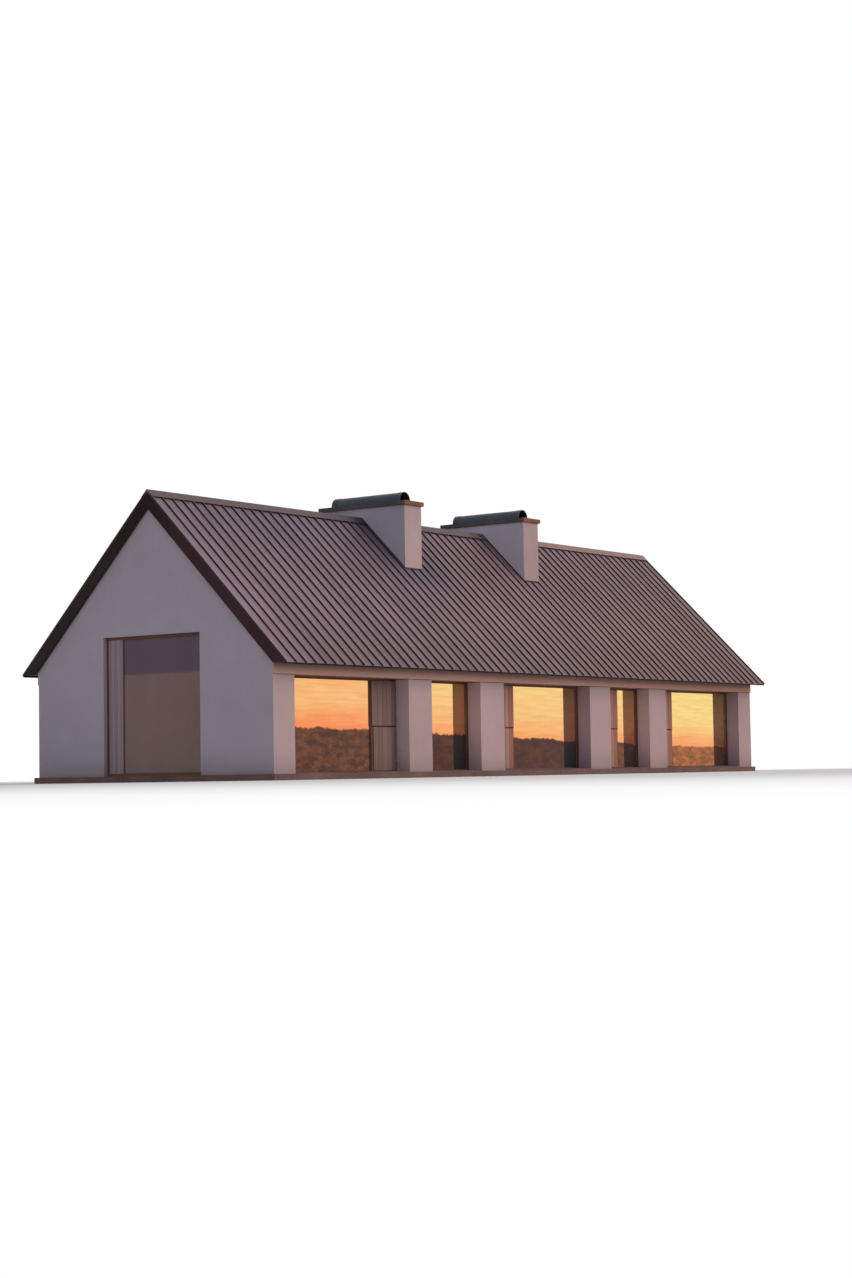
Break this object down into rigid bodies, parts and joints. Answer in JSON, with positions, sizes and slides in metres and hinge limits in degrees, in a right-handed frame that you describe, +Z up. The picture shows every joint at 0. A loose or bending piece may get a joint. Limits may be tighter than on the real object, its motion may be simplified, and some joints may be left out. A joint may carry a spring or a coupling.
{
  "type": "beach house",
  "caption": "Long low beach house with deep rendered piers, tall glazing, split timber doors, a seamed metal roof and slab chimneys with barrel cowls.",
  "frame": {"origin": "bottom centre of the house's bounding box, on the ground", "axes": "+X along the ridge away from the near gable, -Y towards the side with the doors, +Z up"},
  "size_m": [25.24, 9.329, 8.323],
  "materials": {
    "render": "lime-washed render, matt",
    "beam_render": "smooth render, matt",
    "floor_stone": "honed, matt",
    "roof_metal": "satin, warm grey-brown",
    "barge_metal": "matt dark brown",
    "cowl_metal": "satin, blue-black",
    "frame_metal": "satin dark brown",
    "timber": "weathered vertical boards",
    "glass": "clear, mirror-like at an angle"
  },
  "bodies": {
    "house": {"back_beam": "beam_render", "back_frames": "frame_metal", "back_glass": "glass", "back_piers": "render", "back_roof_sheet": "roof_metal", "back_roof_slope": "barge_metal", "chimney_1_cap": "cowl_metal", "chimney_1_cowl": "cowl_metal", "chimney_1_stack": "render", "chimney_2_cap": "cowl_metal", "chimney_2_cowl": "cowl_metal", "chimney_2_stack": "render", "far_barge_boards": "barge_metal", "far_gable_frame": "frame_metal", "far_gable_wall": "render", "floor": "floor_stone", "front_beam": "beam_render", "front_frame_1": "frame_metal", "front_frame_2": "frame_metal", "front_frame_3": "frame_metal", "front_frame_4": "frame_metal", "front_frame_5": "frame_metal", "front_glass": "glass", "front_pier_1": "render", "front_pier_2": "render", "front_pier_3": "render", "front_pier_4": "render", "front_pier_5": "render", "front_pier_6": "render", "front_roof_sheet": "roof_metal", "front_roof_slope": "barge_metal", "gable_glass": "glass", "hinge_pins": "frame_metal", "near_barge_boards": "barge_metal", "near_gable_frame": "frame_metal", "near_gable_wall": "render", "plinth": "render", "ridge_cap": "roof_metal"},
    "door_1_upper": {"door_1_upper": "timber"},
    "door_1_lower": {"door_1_lower": "timber"},
    "door_3_upper": {"door_3_upper": "timber"},
    "door_3_lower": {"door_3_lower": "timber"},
    "door_4_upper": {"door_4_upper": "timber"},
    "door_4_lower": {"door_4_lower": "timber"},
    "door_5_upper": {"door_5_upper": "timber"},
    "door_5_lower": {"door_5_lower": "timber"}
  },
  "joints": [
    {"name": "door_1_upper_hinge", "type": "hinge", "parent": "house", "child": "door_1_upper", "pos_m": [-6.898, -3.715, 1.99], "axis": [0, 0, 1], "range_deg": [0, 90]},
    {"name": "door_1_lower_hinge", "type": "hinge", "parent": "house", "child": "door_1_lower", "pos_m": [-6.898, -3.715, 0.79], "axis": [0, 0, 1], "range_deg": [0, 90]},
    {"name": "door_3_upper_hinge", "type": "hinge", "parent": "house", "child": "door_3_upper", "pos_m": [-2.272, -3.715, 1.99], "axis": [0, 0, -1], "range_deg": [0, 90]},
    {"name": "door_3_lower_hinge", "type": "hinge", "parent": "house", "child": "door_3_lower", "pos_m": [-2.272, -3.715, 0.79], "axis": [0, 0, -1], "range_deg": [0, 90]},
    {"name": "door_4_upper_hinge", "type": "hinge", "parent": "house", "child": "door_4_upper", "pos_m": [3.518, -3.715, 1.99], "axis": [0, 0, -1], "range_deg": [0, 90]},
    {"name": "door_4_lower_hinge", "type": "hinge", "parent": "house", "child": "door_4_lower", "pos_m": [3.518, -3.715, 0.79], "axis": [0, 0, -1], "range_deg": [0, 90]},
    {"name": "door_5_upper_hinge", "type": "hinge", "parent": "house", "child": "door_5_upper", "pos_m": [6.898, -3.715, 1.99], "axis": [0, 0, -1], "range_deg": [0, 90]},
    {"name": "door_5_lower_hinge", "type": "hinge", "parent": "house", "child": "door_5_lower", "pos_m": [6.898, -3.715, 0.79], "axis": [0, 0, -1], "range_deg": [0, 90]}
  ]
}
